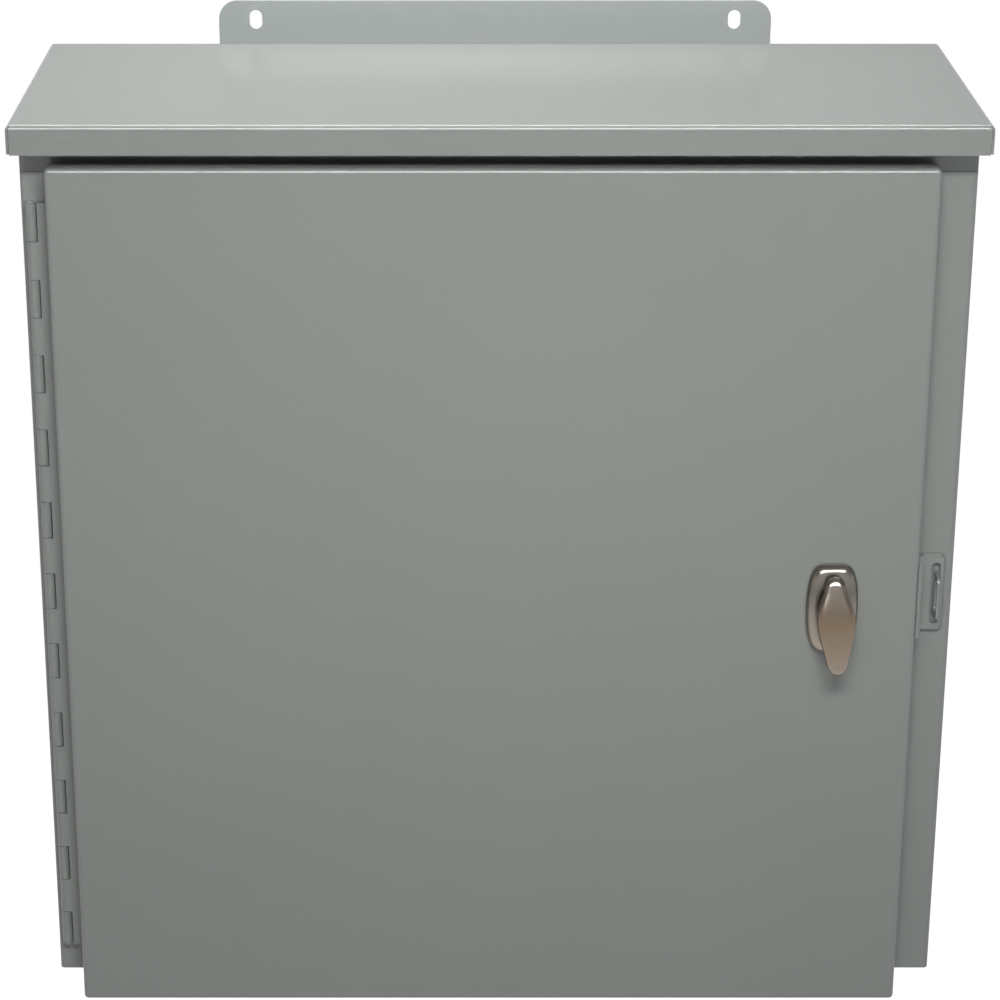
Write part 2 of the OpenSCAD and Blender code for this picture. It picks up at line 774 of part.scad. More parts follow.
// Lever: a leaf that leans outwards to its tip, on a hub and a long shank
module handle_lever() {
  color(nickel) hung() {
    on_shank(hub_d0) cylinder(d1 = hub_d, d2 = lever_top_w, h = hub_h - lever_end_t / 2);
    on_shank(hub_d1 - lever_end_t / 2) hull() {
      for (i = [0 : lever_beads]) lever_bead(i / lever_beads);
    }
    on_shank(cam_front_d) cylinder(d = shank_d, h = hub_d1 - lever_end_t / 2 - cam_front_d);
    on_shank(cam_rear_d) translate([0, 0, cam_t / 2]) cube([square_w, square_w, cam_t], center = true);
    on_shank(tail_end_d) cylinder(d = tail_d, h = cam_rear_d - tail_end_d);
  }
}

// Ring that keeps the shank in the sleeve
module shank_ring() {
  color(zinc) hung() on_shank(sleeve_end_d - hub_gap - ring_t) linear_extrude(ring_t) difference() {
    circle(d = ring_d);
    circle(r = shank_d / 2 + seat_slack);
  }
}

// Cam on the shank's square end, upright while the lever hangs down
module latch_cam() {
  hole_w = square_w + 2 * seat_slack;
  color(zinc) hung() on_shank(cam_rear_d) linear_extrude(cam_t) difference() {
    union() {
      circle(d = cam_w);
      box2(-cam_w / 2, 0, cam_w / 2, cam_len - cam_w / 2);
      translate([0, cam_len - cam_w / 2]) circle(d = cam_w);
    }
    square(hole_w, center = true);
  }
}

// Washer under the cam's nut
module cam_washer() {
  color(zinc) hung() on_shank(cam_nut_d) linear_extrude(washer_t) difference() {
    circle(d = cam_nut_af + 2 * washer_t);
    circle(r = tail_d / 2 + seat_slack);
  }
}

// Nut on the shank's threaded end
module cam_nut() {
  color(zinc) hung() on_shank(cam_nut_d - cam_nut_h) linear_extrude(cam_nut_h) difference() {
    hex2(cam_nut_af);
    circle(r = tail_d / 2 + seat_slack);
  }
}

body_wrapper();
top_cap();
bottom_cap();
rain_hood();
upper_wall_strap();
lower_wall_strap();
body_hinge_leaf();
hinge_pin();
padlock_staple();
back_panel();
panel_studs();
panel_washers();
panel_nuts();
ground_stud();
ground_nut();
door_pan();
door_hinge_leaf();
hasp_plate();
handle_gasket();
handle_escutcheon();
escutcheon_screws();
handle_lever();
shank_ring();
latch_cam();
cam_washer();
cam_nut();
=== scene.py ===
import json
import math

import bmesh
import bpy
import numpy as np
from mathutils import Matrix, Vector


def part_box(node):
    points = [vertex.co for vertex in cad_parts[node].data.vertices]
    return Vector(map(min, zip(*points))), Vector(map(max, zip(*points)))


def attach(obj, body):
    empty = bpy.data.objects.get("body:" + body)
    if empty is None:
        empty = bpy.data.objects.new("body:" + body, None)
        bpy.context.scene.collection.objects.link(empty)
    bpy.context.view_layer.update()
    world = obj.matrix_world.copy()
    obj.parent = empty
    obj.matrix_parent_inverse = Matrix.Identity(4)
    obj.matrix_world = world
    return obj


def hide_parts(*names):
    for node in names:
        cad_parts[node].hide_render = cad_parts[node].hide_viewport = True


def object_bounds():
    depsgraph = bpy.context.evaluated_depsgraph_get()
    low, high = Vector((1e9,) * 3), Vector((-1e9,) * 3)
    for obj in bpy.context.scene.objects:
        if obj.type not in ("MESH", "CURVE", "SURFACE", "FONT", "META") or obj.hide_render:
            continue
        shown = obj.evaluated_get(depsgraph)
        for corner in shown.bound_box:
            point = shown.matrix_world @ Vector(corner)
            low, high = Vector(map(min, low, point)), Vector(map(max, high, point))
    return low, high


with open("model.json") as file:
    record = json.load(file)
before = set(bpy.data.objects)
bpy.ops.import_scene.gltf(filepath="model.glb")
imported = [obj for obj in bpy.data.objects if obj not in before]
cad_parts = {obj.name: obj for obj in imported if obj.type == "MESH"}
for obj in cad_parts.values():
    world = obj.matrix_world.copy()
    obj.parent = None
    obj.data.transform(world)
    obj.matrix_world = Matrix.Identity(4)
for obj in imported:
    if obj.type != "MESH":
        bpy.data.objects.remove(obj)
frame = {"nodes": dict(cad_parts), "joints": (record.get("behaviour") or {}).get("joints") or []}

CAD_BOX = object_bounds()
MM = 0.001
SHANK = next(np.array(joint["pos_m"]) for joint in frame["joints"] if joint["name"] == "handle_turn")

# Camera, fitted to the photograph's edges: metres, degrees, and shares of the frame's width
CAMERA_PLACE = (-0.0311, -2.0922, 0.4437)
CAMERA_PITCH = 21.38
CAMERA_LENS = 109.94
CAMERA_SENSOR = 36.0
CAMERA_SHIFT = (0.05, 0.025)

# Meshes: the distance at which points merge, and the angle from which an edge stays sharp
MERGE = 1e-6
SHARP_ANGLE = 38

# Finishes, in linear colour
COAT_GREY = (0.262, 0.278, 0.262)
# The straps' grey is the body's coat made lighter: painted light for the light bounced onto them
STRAP_PAINTED_LIGHT_GREY = (0.322, 0.349, 0.344)
NICKEL = (0.235, 0.215, 0.19)
# The nickel tones below the plain one are painted light: a darker one for painted shade, a warmer and a
# paler one for painted reflections
NICKEL_PAINTED_SHADE = (0.15, 0.137, 0.118)
NICKEL_PAINTED_WARM_REFLECTION = (0.214, 0.158, 0.11)
NICKEL_PAINTED_PALE_REFLECTION = (0.29, 0.248, 0.203)
ZINC = (0.56, 0.57, 0.58)
ENAMEL = (0.74, 0.74, 0.71)
RUBBER = (0.018, 0.018, 0.018)
WHITE = (1, 1, 1)

# The busy middle of a noise texture's values
NOISE_LOW, NOISE_HIGH = 0.3, 0.7

COAT_NODES = (
    "body_wrapper", "top_cap", "bottom_cap", "rain_hood", "body_hinge_leaf",
    "padlock_staple", "door_pan", "door_hinge_leaf", "hasp_plate",
)
ZINC_NODES = (
    "hinge_pin", "panel_studs", "panel_washers", "panel_nuts", "ground_stud", "ground_nut",
    "escutcheon_screws", "shank_ring", "latch_cam", "cam_washer", "cam_nut",
)


# Shader groups

def new_group(name, inputs, outputs):
    """Empty shader group with named float sockets: (name, default) pairs in, names out."""
    group = bpy.data.node_groups.new(name, "ShaderNodeTree")
    for label, value in inputs:
        socket = group.interface.new_socket(label, in_out="INPUT", socket_type="NodeSocketFloat")
        socket.default_value = value
    for label in outputs:
        group.interface.new_socket(label, in_out="OUTPUT", socket_type="NodeSocketFloat")
    return group, group.nodes.new("NodeGroupInput"), group.nodes.new("NodeGroupOutput")


def noise_node(tree, scale_socket, detail, roughness):
    """Noise texture on Object coordinates, its scale taken from a socket."""
    place = tree.nodes.new("ShaderNodeTexCoord")
    noise = tree.nodes.new("ShaderNodeTexNoise")
    noise.inputs["Detail"].default_value = detail
    noise.inputs["Roughness"].default_value = roughness
    tree.links.new(place.outputs["Object"], noise.inputs["Vector"])
    tree.links.new(scale_socket, noise.inputs["Scale"])
    return noise


def make_peel_group():
    """Orange peel: a pebble-sized noise plus a share of a slow waviness of the sheet, as one height."""
    group, inlet, outlet = new_group(
        "orange_peel", [("Pebble Scale", 420.0), ("Wave Scale", 5.0), ("Wave Share", 4.0)], ["Height"]
    )
    pebble = noise_node(group, inlet.outputs["Pebble Scale"], detail=1.5, roughness=0.5)
    wave = noise_node(group, inlet.outputs["Wave Scale"], detail=1.0, roughness=0.4)
    total = group.nodes.new("ShaderNodeMath")
    total.operation = "MULTIPLY_ADD"
    group.links.new(wave.outputs["Fac"], total.inputs[0])
    group.links.new(inlet.outputs["Wave Share"], total.inputs[1])
    group.links.new(pebble.outputs["Fac"], total.inputs[2])
    group.links.new(total.outputs["Value"], outlet.inputs["Height"])
    return group


def make_mottle_group():
    """Mottle: a slow cloud and a fine speck, mixed by a share, between 0 and 1."""
    group, inlet, outlet = new_group(
        "mottle", [("Cloud Scale", 6.0), ("Speck Scale", 900.0), ("Speck Share", 0.3)], ["Shade"]
    )
    cloud = noise_node(group, inlet.outputs["Cloud Scale"], detail=3.0, roughness=0.55)
    speck = noise_node(group, inlet.outputs["Speck Scale"], detail=2.0, roughness=0.6)
    mix = group.nodes.new("ShaderNodeMix")
    group.links.new(inlet.outputs["Speck Share"], mix.inputs["Factor"])
    group.links.new(cloud.outputs["Fac"], mix.inputs["A"])
    group.links.new(speck.outputs["Fac"], mix.inputs["B"])
    group.links.new(mix.outputs["Result"], outlet.inputs["Shade"])
    return group


PEEL = make_peel_group()
MOTTLE = make_mottle_group()


# Finishes

def place_group(tree, group, **values):
    """Puts a group in a material, with its own values by socket name (underscores for spaces)."""
    node = tree.nodes.new("ShaderNodeGroup")
    node.node_tree = group
    for label, value in values.items():
        node.inputs[label.replace("_", " ")].default_value = value
    return node


def map_range(tree, source, from_low, from_high, to_low, to_high):
    """Value carried from one range onto another in a straight line, and held at its ends."""
    node = tree.nodes.new("ShaderNodeMapRange")
    node.inputs["From Min"].default_value = from_low
    node.inputs["From Max"].default_value = from_high
    node.inputs["To Min"].default_value = to_low
    node.inputs["To Max"].default_value = to_high
    tree.links.new(source, node.inputs["Value"])
    return node.outputs["Result"]


def color_mix(tree, blend, factor=None):
    """Mix node for colours, with a factor of 1 or from a socket; its colours are inputs 6 and 7."""
    node = tree.nodes.new("ShaderNodeMix")
    node.data_type = "RGBA"
    node.blend_type = blend
    node.inputs["Factor"].default_value = 1.0
    if factor:
        tree.links.new(factor, node.inputs["Factor"])
    return node


def shade_mix(tree, source, color, spread):
    """Colour between a darker and a lighter tone of the same hue, chosen by a noise."""
    node = color_mix(tree, "MIX", map_range(tree, source, NOISE_LOW, NOISE_HIGH, 0.0, 1.0))
    node.inputs[6].default_value = (*[c * (1 - spread) for c in color], 1)
    node.inputs[7].default_value = (*[c * (1 + spread) for c in color], 1)
    return node.outputs[2]


def painted_light_by_height(tree, shade, stops):
    """Painted light: a tone that changes with the height of a point through (height, colour) stops, times a
    shade.
    """
    stops = sorted(stops)
    low, high = stops[0][0], stops[-1][0]
    place = tree.nodes.new("ShaderNodeTexCoord")
    parts = tree.nodes.new("ShaderNodeSeparateXYZ")
    tree.links.new(place.outputs["Object"], parts.inputs["Vector"])
    tones = tree.nodes.new("ShaderNodeValToRGB")
    elements = tones.color_ramp.elements
    elements[0].color = (*stops[0][1], 1)
    elements[1].color = (*stops[-1][1], 1)
    for height, color in stops[1:-1]:
        elements.new((height - low) / (high - low)).color = (*color, 1)
    tree.links.new(map_range(tree, parts.outputs["Z"], low, high, 0.0, 1.0), tones.inputs["Fac"])
    mix = color_mix(tree, "MULTIPLY")
    tree.links.new(tones.outputs["Color"], mix.inputs[6])
    tree.links.new(shade, mix.inputs[7])
    return mix.outputs[2]


def finish_material(name, color, spread, rough, metal, peel, bump, mottle, stops=()):
    """Coated or plated metal: mottled colour and roughness, over a bump of orange peel or grain."""
    material = bpy.data.materials.new(name)
    material.use_nodes = True
    tree = material.node_tree
    shader = tree.nodes["Principled BSDF"]
    shader.inputs["Metallic"].default_value = metal
    tone = place_group(tree, MOTTLE, **mottle).outputs["Shade"]
    shade = shade_mix(tree, tone, color, spread)
    if stops:
        shade = painted_light_by_height(tree, shade, stops)
    tree.links.new(shade, shader.inputs["Base Color"])
    tree.links.new(map_range(tree, tone, NOISE_LOW, NOISE_HIGH, *rough), shader.inputs["Roughness"])
    relief = tree.nodes.new("ShaderNodeBump")
    relief.inputs["Strength"].default_value = 1.0
    relief.inputs["Distance"].default_value = bump
    tree.links.new(place_group(tree, PEEL, **peel).outputs["Height"], relief.inputs["Height"])
    tree.links.new(relief.outputs["Normal"], shader.inputs["Normal"])
    return material


def coat_finish(name, color, rough, bump):
    """Satin powder coat on sheet steel."""
    return finish_material(
        name, color, spread=0.02, rough=rough, metal=0.0,
        peel=dict(Pebble_Scale=420, Wave_Scale=6, Wave_Share=1), bump=bump,
        mottle=dict(Cloud_Scale=5, Speck_Share=0.2),
    )


def nickel_finish(name, stops):
    """Satin nickel whose colour carries painted light: (millimetres above the shank's axis, colour) stops
    lay painted reflections and painted shade into it by height.
    """
    return finish_material(
        name, WHITE, spread=0.04, rough=(0.23, 0.27), metal=1.0,
        peel=dict(Pebble_Scale=900, Wave_Scale=60, Wave_Share=2), bump=0.003 * MM,
        mottle=dict(Cloud_Scale=40, Speck_Scale=2500),
        stops=[(SHANK[2] + height * MM, color) for height, color in stops],
    )


COAT = coat_finish("grey_powder_coat", COAT_GREY, rough=(0.24, 0.26), bump=0.002 * MM)
# Strap coat: the body's paint made lighter as painted light
STRAP_COAT_PAINTED_LIGHT = coat_finish("strap_powder_coat", STRAP_PAINTED_LIGHT_GREY, rough=(0.26, 0.28), bump=0.001 * MM)
# The handle's nickel carries painted light: paler and warmer tones low down for painted reflections, a
# darker band on the plate for painted shade
LEVER_NICKEL_PAINTED_LIGHT = nickel_finish("lever_nickel", [(-56.6, NICKEL_PAINTED_PALE_REFLECTION), (-20.6, NICKEL_PAINTED_WARM_REFLECTION), (5.4, NICKEL)])
PLATE_NICKEL_PAINTED_LIGHT = nickel_finish(
    "plate_nickel", [(-40.6, NICKEL_PAINTED_PALE_REFLECTION), (-20.6, NICKEL), (-4.6, NICKEL_PAINTED_SHADE), (13.4, NICKEL)]
)
BRIGHT_ZINC = finish_material(
    "bright_zinc", ZINC, spread=0.08, rough=(0.28, 0.4), metal=1.0,
    peel=dict(Pebble_Scale=1200, Wave_Scale=80, Wave_Share=2), bump=0.006 * MM,
    mottle=dict(Cloud_Scale=60, Speck_Scale=1800),
)
PANEL_ENAMEL = finish_material(
    "panel_enamel", ENAMEL, spread=0.02, rough=(0.3, 0.38), metal=0.0,
    peel=dict(Pebble_Scale=350, Wave_Scale=6, Wave_Share=6), bump=0.012 * MM,
    mottle=dict(Cloud_Scale=6),
)
BLACK_RUBBER = finish_material(
    "black_rubber", RUBBER, spread=0.2, rough=(0.6, 0.75), metal=0.0,
    peel=dict(Pebble_Scale=1500, Wave_Scale=90, Wave_Share=1), bump=0.02 * MM,
    mottle=dict(Cloud_Scale=80, Speck_Scale=2500),
)

NODE_FINISH = {
    **{name: COAT for name in COAT_NODES},
    **{name: BRIGHT_ZINC for name in ZINC_NODES},
    "upper_wall_strap": STRAP_COAT_PAINTED_LIGHT,
    "lower_wall_strap": STRAP_COAT_PAINTED_LIGHT,
    "back_panel": PANEL_ENAMEL,
    "handle_gasket": BLACK_RUBBER,
    "handle_escutcheon": PLATE_NICKEL_PAINTED_LIGHT,
    "handle_lever": LEVER_NICKEL_PAINTED_LIGHT,
}
for node_name, finish in NODE_FINISH.items():
    slots = frame["nodes"][node_name].data.materials
    slots.clear()
    slots.append(finish)


# Grids of points

def grid_faces(rows, columns, first):
    """Quads of a grid of rows of points, each row closed on itself, as point numbers from a first one."""
    number = first + np.arange(rows * columns).reshape(rows, columns)
    near = np.roll(number, -1, axis=1)
    return np.stack([number[:-1], near[:-1], near[1:], number[1:]], axis=-1).reshape(-1, 4)


def outward_faces(points, faces):
    """Faces of a closed shell, turned so that the volume under them, summed over triangles, is positive."""
    corner = points[faces]
    sweep = np.cross(corner[:, 1] - corner[:, 0], corner[:, 2] - corner[:, 0])
    sweep += np.cross(corner[:, 2] - corner[:, 0], corner[:, 3] - corner[:, 0])
    middle = points.mean(axis=0)
    return faces if ((corner.mean(axis=1) - middle) * sweep).sum() > 0 else faces[:, ::-1]


def make_piece(name, shells, finish, body, slot, *nodes):
    """Piece made of closed shells, each a grid [row, point, xyz] in metres whose rows close on themselves.
    Rows that shrink to a point, and a last row that repeats the first, are merged to close the shell."""
    points = np.concatenate([shell.reshape(-1, 3) for shell in shells])
    first = np.cumsum([0] + [shell.shape[0] * shell.shape[1] for shell in shells])
    faces = np.concatenate(
        [outward_faces(points, grid_faces(*shell.shape[:2], at)) for shell, at in zip(shells, first)]
    )
    mesh = bpy.data.meshes.new(name)
    mesh.from_pydata(points, [], faces.tolist())
    shape = bmesh.new()
    shape.from_mesh(mesh)
    bmesh.ops.remove_doubles(shape, verts=shape.verts, dist=MERGE)
    bmesh.ops.dissolve_degenerate(shape, edges=shape.edges, dist=MERGE)
    shape.to_mesh(mesh)
    shape.free()
    mesh.polygons.foreach_set("use_smooth", np.ones(len(mesh.polygons), bool))
    mesh.set_sharp_from_angle(angle=math.radians(SHARP_ANGLE))
    mesh.materials.append(finish)
    piece = bpy.data.objects.new(name, mesh)
    bpy.context.scene.collection.objects.link(piece)
    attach(piece, body)
    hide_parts(*nodes)


def box_of(node):
    """Lowest and highest corner of a CAD node, as arrays in metres."""
    low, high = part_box(node)
    return np.array(low), np.array(high)


def turn(count):
    """Angles once round, evenly spread, the first not repeated."""
    return np.linspace(0, 2 * np.pi, count, endpoint=False)


def smooth(t):
    """Step from 0 to 1 with level ends: 3 t^2 - 2 t^3."""
    t = np.clip(t, 0, 1)
    return t * t * (3 - 2 * t)


def squircle(angle, half_x, half_z, power):
    """Outline |x / half_x|^power + |z / half_z|^power = 1: signed cosine and sine raised to 2 / power."""
    c, s = np.cos(angle), np.sin(angle)
    return half_x * np.sign(c) * np.abs(c) ** (2 / power), half_z * np.sign(s) * np.abs(s) ** (2 / power)


def rect_ring(half_x, half_z, corner, angle):
    """Rectangle with round corners: a circle of the corner's radius, its quarters pushed out to them."""
    c, s = np.cos(angle), np.sin(angle)
    return (half_x - corner) * np.sign(c) + corner * c, (half_z - corner) * np.sign(s) + corner * s


def turned(x, z, stations, angle):
    """Rings round a front-to-back axis at (x, z), one for each (depth, radius); each may vary by angle."""
    depth = np.array([np.broadcast_to(y, angle.shape) for y, r in stations])
    radius = np.array([np.broadcast_to(r, angle.shape) for y, r in stations])
    return np.stack([x + radius * np.cos(angle), depth, z + radius * np.sin(angle)], axis=-1)


def thread(start, end, radius, pitch, angle, ridge=0.3):
    """Stations of a screw thread: the radius less a share of the pitch times 1 + cos of the turns made."""
    depths = np.arange(start, end, np.sign(end - start) * pitch / 8)
    return [(y, radius - ridge * pitch * (1 + np.cos(2 * np.pi * y / pitch + angle))) for y in depths]


# Handle

SHANK_R = 5.0 * MM
BORE_R = 5.05 * MM
SLEEVE_R = 8.05 * MM


def make_handle_plate():
    """Escutcheon: rings of a squarish outline whose sides bulge by a share of 1 - (z / half)^2, carried
    over a quarter-ellipse edge, growing rounder, up to a crown, where they turn into circles round the
    shank, go down the bore and come back along the sleeve to the rear face."""
    low, high = box_of("handle_escutcheon")
    back_y = box_of("handle_gasket")[0][1]
    middle, half = (low + high) / 2, (high - low) / 2
    height = back_y - low[1]
    waist, squareness, rounding = 0.8, 5.2, 2.0
    rim, edge, bevel, crown = 1.4 * MM, 0.5 * MM, 5.4 * MM, 0.4 * MM
    foot_inset, edge_inset = 0.6 * MM, 0.15 * MM
    angle = turn(144)
    rise = np.linspace(0, np.pi / 2, 17)
    inset = np.concatenate([[foot_inset, edge_inset], bevel * (1 - np.cos(rise))])[:, None]
    depth = np.concatenate([[0, edge], rim + (height - rim - crown) * np.sin(rise)])[:, None]
    power = squareness - rounding * np.concatenate([[0, 0], np.sin(rise)])[:, None]
    x, z = squircle(angle, half[0] - inset, half[2] - inset, power)
    x = x * (waist + (1 - waist) * (1 - (z / half[2]) ** 2))
    dome = np.stack([middle[0] + x, back_y - depth + 0 * x, middle[2] + z], axis=-1)
    share = np.linspace(0, 1, 14)[1:, None]
    flat = np.stack([
        dome[-1, :, 0] * (1 - share) + (SHANK[0] + BORE_R * np.cos(angle)) * share,
        low[1] + crown * (1 - share) + 0 * angle,
        dome[-1, :, 2] * (1 - share) + (SHANK[2] + BORE_R * np.sin(angle)) * share,
    ], axis=-1)
    sleeve = turned(SHANK[0], SHANK[2], [
        (high[1], BORE_R), (high[1], SLEEVE_R - edge), (high[1] - edge, SLEEVE_R), (back_y, SLEEVE_R),
    ], angle)
    rings = np.concatenate([dome, flat, sleeve, dome[:1]])
    make_piece("handle_plate", [rings], PLATE_NICKEL_PAINTED_LIGHT, "door", "satin_nickel", "handle_escutcheon")


def lever_leaf(front_y):
    """Leaf of the lever: oval sections whose breadth swells as a power of a sine from the hub end and draws
    in as a cosine squared to a round tip. Their line leans outwards and bows by a share of s (1 - s)."""
    top, tip, widest = 8.2 * MM, -54.6 * MM, -20 * MM
    top_w, leaf_w, tip_w, swell_power = 11.2 * MM, 25.4 * MM, 13.0 * MM, 1.9
    top_r, tip_r, end_r = 5.6 * MM, 7.5 * MM, 4.5 * MM
    end_t, leaf_t, least_t = 8.0 * MM, 10.5 * MM, 0.3
    rise, bow, sideways = 14 * MM, 0.28, 0.04
    roundness, squaring = 2.4, 1.0
    share = (1 - np.cos(np.linspace(0, np.pi, 73))) / 2
    z = top - (top - tip) * share
    upper = z > widest
    from_end = np.minimum(top - z, z - tip)

    def rounded(radius):
        """Quarter-circle ease: 0 at an end, 1 from one radius on."""
        return np.sqrt(np.clip(1 - (1 - np.clip(from_end / radius, 0, 1)) ** 2, 0, 1))

    swell = np.where(
        upper,
        np.sin(np.pi / 2 * np.clip((top - z) / (top - widest), 0, 1)) ** swell_power,
        np.cos(np.pi / 2 * np.clip((widest - z) / (widest - tip), 0, 1)) ** 2,
    )
    end_w = np.where(upper, top_w, tip_w)
    half_w = (end_w + (leaf_w - end_w) * swell) / 2 * rounded(np.where(upper, top_r, tip_r))
    thin = (least_t + (1 - least_t) * rounded(end_r)) * (from_end > 0)
    half_t = (end_t + (leaf_t - end_t) * swell) / 2 * thin
    middle_y = front_y + end_t / 2 + rise * (1 - share) * (1 - bow * share)
    x, y = squircle(turn(96), half_w[:, None], half_t[:, None], (roundness + squaring * share)[:, None])
    x = x - sideways * z[:, None]
    return np.stack([SHANK[0] + x, middle_y[:, None] + y, SHANK[2] + z[:, None] + 0 * x], axis=-1)


def lever_stem(end_y):
    """Hub, shank, square and threaded tail of the lever, as rings round the shank's axis."""
    cam_low, cam_high = box_of("latch_cam")
    hub_gap, hub_h, hub_r, nose_r = 0.3 * MM, 6 * MM, 7.1 * MM, 4.8 * MM
    square_half, corner_cut, ease = 3.5 * MM, 1.32, 0.4 * MM
    tail_r, tail_end_r, tail_run_out, pitch = 3.0 * MM, 2.4 * MM, 0.5 * MM, 1.0 * MM
    hub_y = box_of("handle_escutcheon")[0][1] - hub_gap
    angle = turn(96)
    square = square_half / np.maximum(np.abs(np.cos(angle)), np.abs(np.sin(angle)))
    square = np.minimum(square, corner_cut * square_half)
    return turned(SHANK[0], SHANK[2], [
        (hub_y - hub_h, 0), (hub_y - hub_h, nose_r), (hub_y - 0.8 * MM, hub_r - 0.1 * MM),
        (hub_y - 0.3 * MM, hub_r), (hub_y, hub_r - 0.2 * MM), (hub_y, SHANK_R),
        (cam_low[1] - ease, SHANK_R), (cam_low[1], SHANK_R - ease),
        (cam_low[1], square), (cam_high[1], square),
        *thread(cam_high[1], end_y - tail_run_out, tail_r, pitch, angle, ridge=0.28),
        (end_y, tail_end_r), (end_y, 0),
    ], angle)


def make_handle_grip():
    """Lever with its shank: a leaf and a stem."""
    low, high = box_of("handle_lever")
    shells = [lever_leaf(low[1]), lever_stem(high[1])]
    make_piece("handle_grip", shells, LEVER_NICKEL_PAINTED_LIGHT, "handle", "satin_nickel", "handle_lever")


# Padlock hasp

def hasp_face(leg_x, low, high, sheet, ease):
    """Plate of the hasp: rings that run from its round-cornered outline over a sloping edge to the slot,
    through it, and back behind to a low rim. The leg's side has no inset."""
    corner, broader = 4.0 * MM, 1.2 * MM
    rim_w, rim_d, slope = 1.8 * MM, 1.6 * MM, 1.5 * MM
    slot_w, slot_h, half_tab = 5.4 * MM, 43.5 * MM, 0.75 * MM
    slot_x = box_of("padlock_staple")[1][0] - half_tab
    middle_z, half_h = (low[2] + high[2]) / 2, (high[2] - low[2]) / 2
    side_x, near_x = high[0] + broader - slot_x, leg_x - slot_x
    angle = turn(128)
    c, s = np.cos(angle), np.sin(angle)

    def outline(inset):
        """Rectangle with round corners, a circle pushed out to the four sides."""
        x = np.where(c > 0, side_x - corner + (corner - inset) * c, near_x + corner + corner * c)
        return x, np.sign(s) * (half_h - corner) + (corner - inset) * s

    def slot(grow):
        """Slot with round ends, grown all round."""
        r = slot_w / 2 + grow
        return r * c, np.sign(s) * (slot_h - slot_w) / 2 + r * s

    rings = [
        (outline(ease), -rim_d), (outline(0), ease - rim_d), (outline(slope), sheet - ease),
        (outline(slope + ease), sheet), (slot(ease), sheet), (slot(0), sheet - ease), (slot(0), ease),
        (slot(ease), 0), (outline(rim_w), 0), (outline(rim_w), -rim_d), (outline(ease), -rim_d),
    ]
    return np.array([
        np.stack([slot_x + x, high[1] - depth + 0 * x, middle_z + z], axis=-1) for (x, z), depth in rings
    ])


def hasp_leg(leg_x, low, high, sheet, ease):
    """Bent leg of the hasp: an L-shaped section with a round bend, carried up along the door's side and
    drawn in a little at its ends."""
    bend, leg_t, lap, sunk, end_share = 4.2 * MM, 3.0 * MM, 1.2 * MM, 0.05 * MM, 0.94
    quarter = np.linspace(0, np.pi / 2, 9)
    leg_d = high[1] - low[1]
    plate_x = leg_x + bend + lap
    section_x = np.concatenate([
        [plate_x], leg_x + bend - bend * np.sin(quarter), leg_x + np.array([0, ease, leg_t - ease, leg_t]),
        leg_x + bend - (bend - leg_t) * np.sin(quarter[::-1]), [plate_x],
    ])
    section_d = np.concatenate([
        [0], bend - bend * np.cos(quarter), leg_d - np.array([ease, 0, 0, ease]),
        bend - (bend - sheet) * np.cos(quarter[::-1]), [sheet - sunk],
    ])
    height = np.array([low[2], low[2], low[2] + ease, high[2] - ease, high[2], high[2]])[:, None]
    keep = np.array([0, end_share, 1, 1, end_share, 0])[:, None]
    x = section_x.mean() + (section_x - section_x.mean()) * keep
    d = section_d.mean() + (section_d - section_d.mean()) * keep
    return np.stack([x, high[1] - d, height + 0 * x], axis=-1)


def make_hasp_angle():
    """Hasp: a slotted plate and its bent leg."""
    low, high = box_of("hasp_plate")
    sheet, ease, from_door = 2.2 * MM, 0.35 * MM, 0.6 * MM
    sizes = (low[0] + from_door, low, high, sheet, ease)
    shells = [hasp_face(*sizes), hasp_leg(*sizes)]
    make_piece("hasp_angle", shells, COAT, "door", "cabinet_paint", "hasp_plate")


# Door

def make_door_shell():
    """Folded door: rectangular rings with round corners carried from the shank's hole out over the face,
    round the front bend, back along the sides, round the rear bend, in along the return, and home on the
    inner skin."""
    low, high = box_of("door_pan")
    bottom_drop, top_drop = 1.0 * MM, 1.8 * MM
    low[2], high[2] = low[2] - bottom_drop, high[2] - top_drop
    sheet, bend, turned_in, hole_r = 1.5 * MM, 3.0 * MM, 14.0 * MM, 8.35 * MM
    ease, near, least_corner = 0.2 * MM, 1.0 * MM, 0.02 * MM
    depth = high[1] - low[1]
    middle, half = (low + high) / 2, (high - low) / 2
    inner = bend - sheet
    q = np.linspace(0, np.pi / 2, 9)
    inset = np.concatenate([
        [bend + near], bend * (1 - np.sin(q)), [0, 0], bend * (1 - np.cos(q)),
        [bend + near, turned_in - ease, turned_in, turned_in, turned_in - ease, bend + near],
        bend - inner * np.sin(q), [sheet, sheet], bend - inner * np.cos(q), [bend + near],
    ])[:, None]
    back = np.concatenate([
        [0], bend * (1 - np.cos(q)), [bend + near, depth - bend - near], depth - bend + bend * np.sin(q),
        depth - np.array([0, 0, ease, sheet - ease, sheet, sheet]),
        depth - bend + inner * np.cos(q), [depth - bend - near, bend + near],
        bend - inner * np.sin(q), [sheet],
    ])[:, None]
    points = 64
    angle = turn(points) + np.pi / points
    corner = np.maximum(bend - inset, least_corner)
    x, z = rect_ring(half[0] - inset, half[2] - inset, corner, angle)
    skin = np.stack([middle[0] + x, low[1] + back + 0 * x, middle[2] + z], axis=-1)
    front, rear = low[1], low[1] + sheet
    hole = turned(SHANK[0], SHANK[2], [(front, hole_r), (rear, hole_r), (front, hole_r)], angle)
    rings = np.concatenate([hole[:1], skin, hole[1:]])
    make_piece("door_shell", [rings], COAT, "door", "cabinet_paint", "door_pan")


# Fasteners

